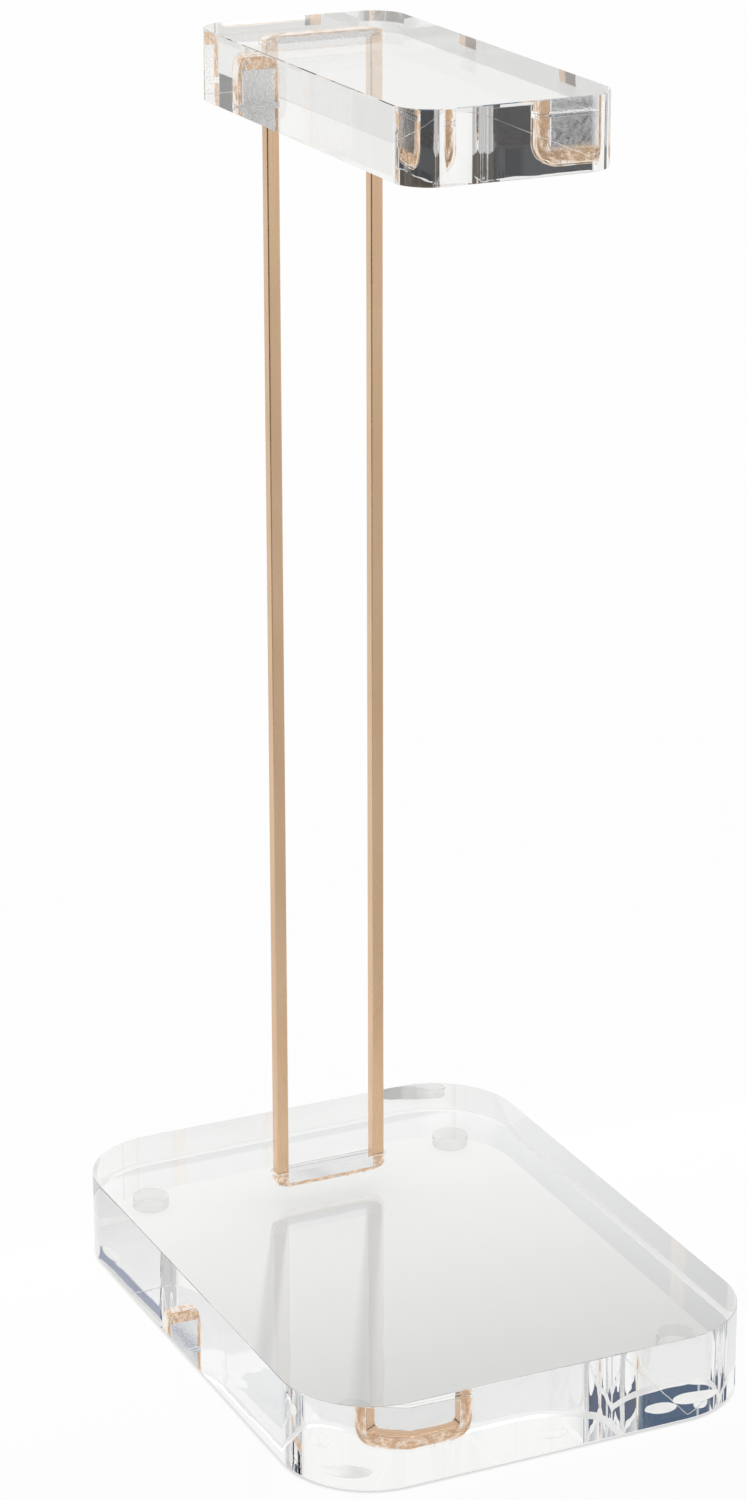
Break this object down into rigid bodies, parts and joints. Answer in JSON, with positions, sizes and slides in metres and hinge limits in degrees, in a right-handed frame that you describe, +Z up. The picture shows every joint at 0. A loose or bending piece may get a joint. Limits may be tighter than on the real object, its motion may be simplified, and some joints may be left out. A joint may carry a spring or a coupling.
{
  "type": "headphone stand",
  "caption": "Clear slab base and clear rounded top block joined by a tall narrow loop of gold square bar, for hanging headphones over the block.",
  "frame": {"origin": "on the table plane under the feet, at the centre of the base slab's outline", "axes": "+Z up along the loop, -Y towards the front face of the slab, +X to the right seen from the front"},
  "size_m": [0.105, 0.142, 0.2832],
  "materials": {
    "clear_acrylic": "polished clear acrylic",
    "champagne_gold": "brushed, pale gold",
    "clear_adhesive": "clear, slightly hazy",
    "clear_bumper": "soft clear polyurethane"
  },
  "bodies": {
    "root": {"base_block": "clear_acrylic", "top_block": "clear_acrylic", "support_loop": "champagne_gold", "base_slot_adhesive": "clear_adhesive", "top_slot_adhesive": "clear_adhesive", "foot_front_left": "clear_bumper", "foot_front_right": "clear_bumper", "foot_back_left": "clear_bumper", "foot_back_right": "clear_bumper"}
  },
  "joints": []
}
